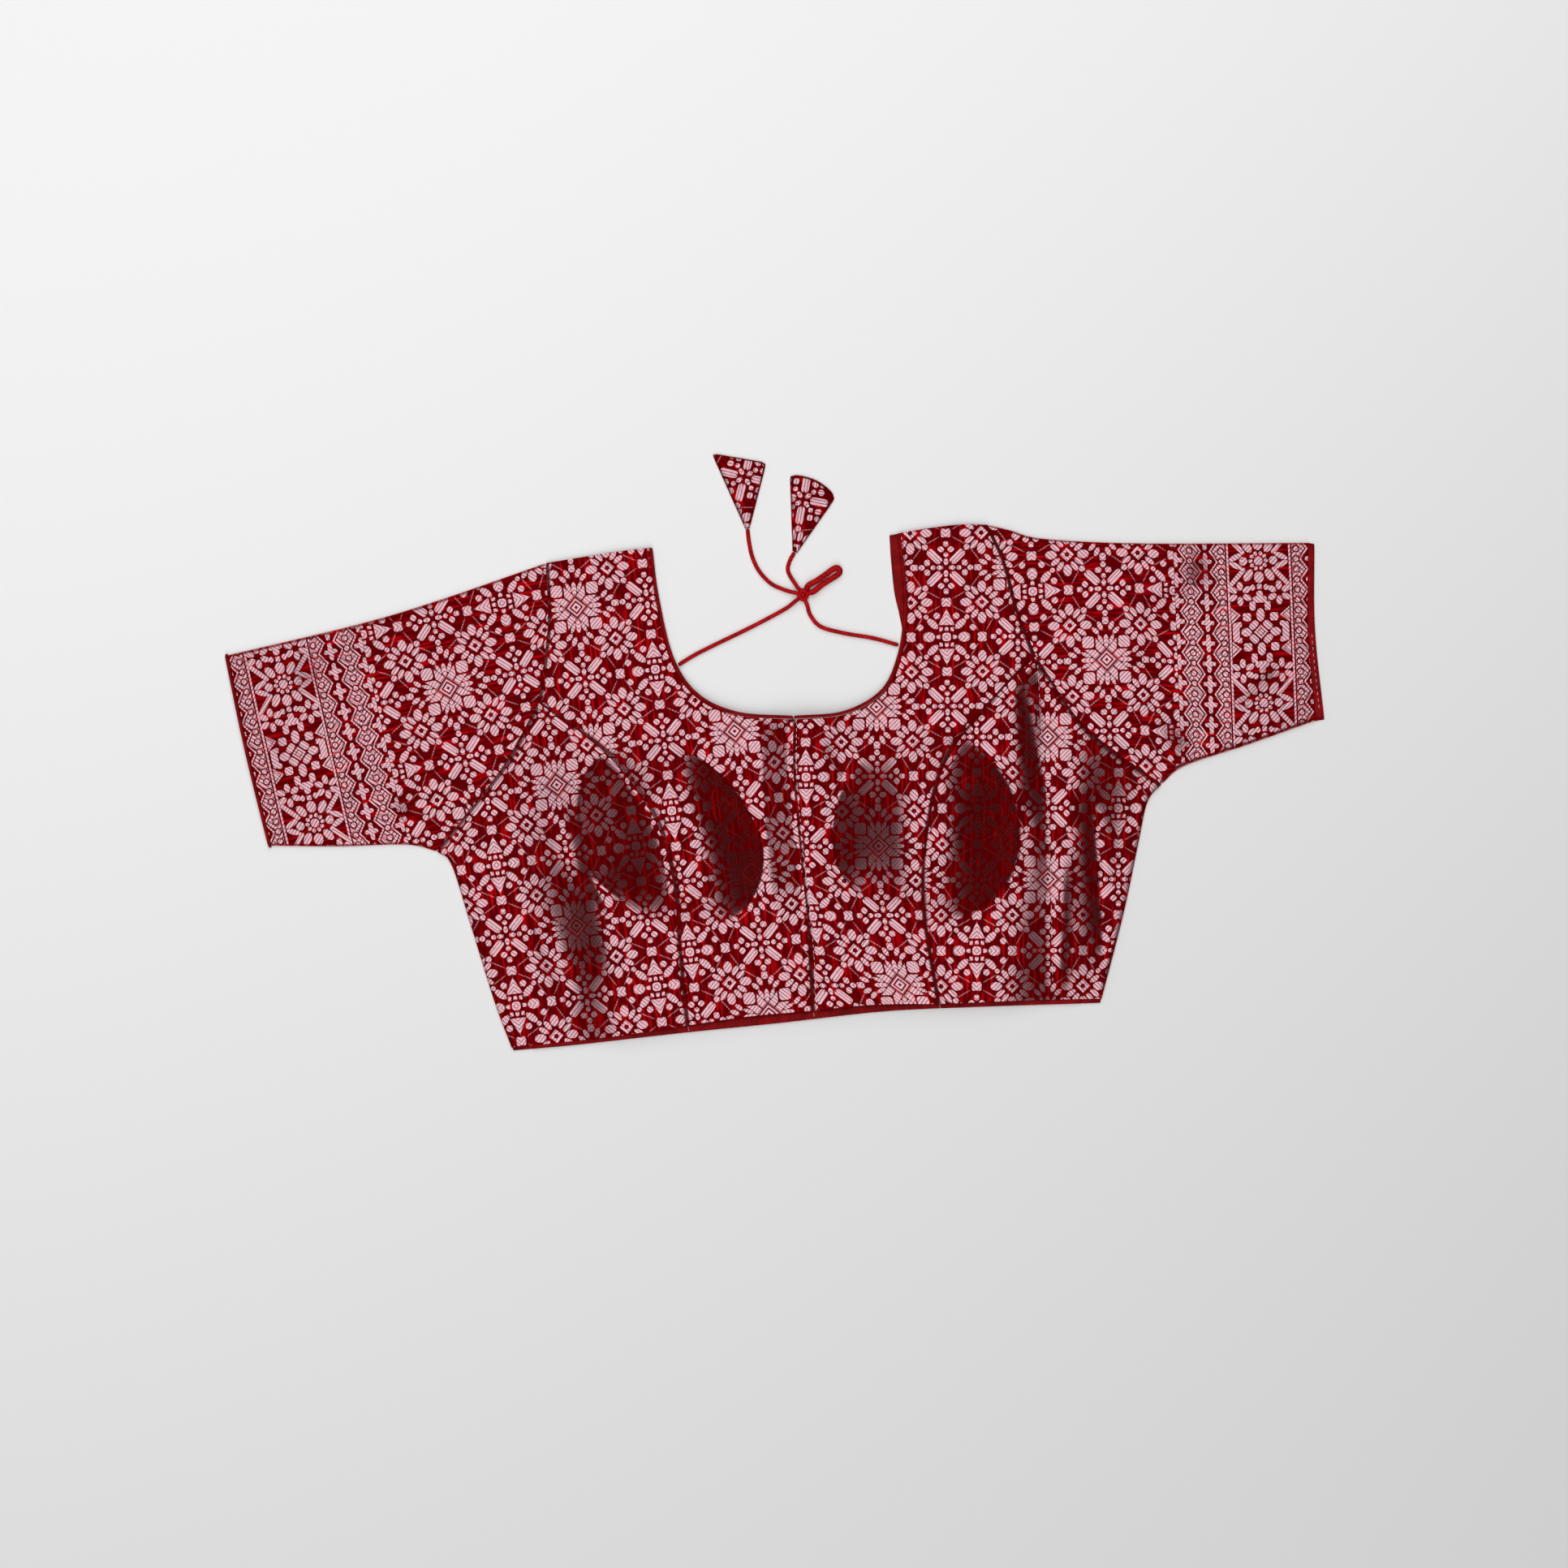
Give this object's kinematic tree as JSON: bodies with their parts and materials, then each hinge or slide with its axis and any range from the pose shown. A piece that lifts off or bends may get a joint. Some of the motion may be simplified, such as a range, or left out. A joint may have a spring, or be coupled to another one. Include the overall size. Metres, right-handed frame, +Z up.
{
  "type": "brocade blouse",
  "caption": "Cropped brocade saree blouse laid flat, front up, with a round neck, bust cups, elbow-length sleeves with woven borders and knotted neck cords.",
  "frame": {"origin": "middle of the garment's outline on the surface that it lies on, cords left out", "axes": "+Z up from the surface, +Y from the hem towards the shoulders, +X towards the sleeve on the right of the laid-out view"},
  "size_m": [0.785, 0.4266, 0.0318],
  "materials": {
    "front_brocade": "red satin with silver thread",
    "back_brocade": "red satin with silver thread",
    "sleeve_brocade": "red satin with silver thread and a woven border",
    "tie_end_brocade": "red satin with silver thread",
    "trim_red": "plain red cotton",
    "cord_red": "rolled plain red cloth"
  },
  "bodies": {
    "root": {"front_centre_left": "front_brocade", "front_side_left": "front_brocade", "front_centre_right": "front_brocade", "front_side_right": "front_brocade", "back_panel": "back_brocade", "sleeve_left": "sleeve_brocade", "sleeve_right": "sleeve_brocade", "neck_piping_left": "trim_red", "neck_piping_right": "trim_red", "neck_facing_back": "trim_red", "hem_facing_back": "trim_red", "cuff_piping_left": "trim_red", "cuff_facing_right": "trim_red", "dori_left": "cord_red", "dori_right": "cord_red", "dori_tail_left": "cord_red", "dori_tail_right": "cord_red", "dori_loop": "cord_red", "dori_knot": "cord_red", "latkan_left": "tie_end_brocade", "latkan_right": "tie_end_brocade"}
  },
  "joints": []
}
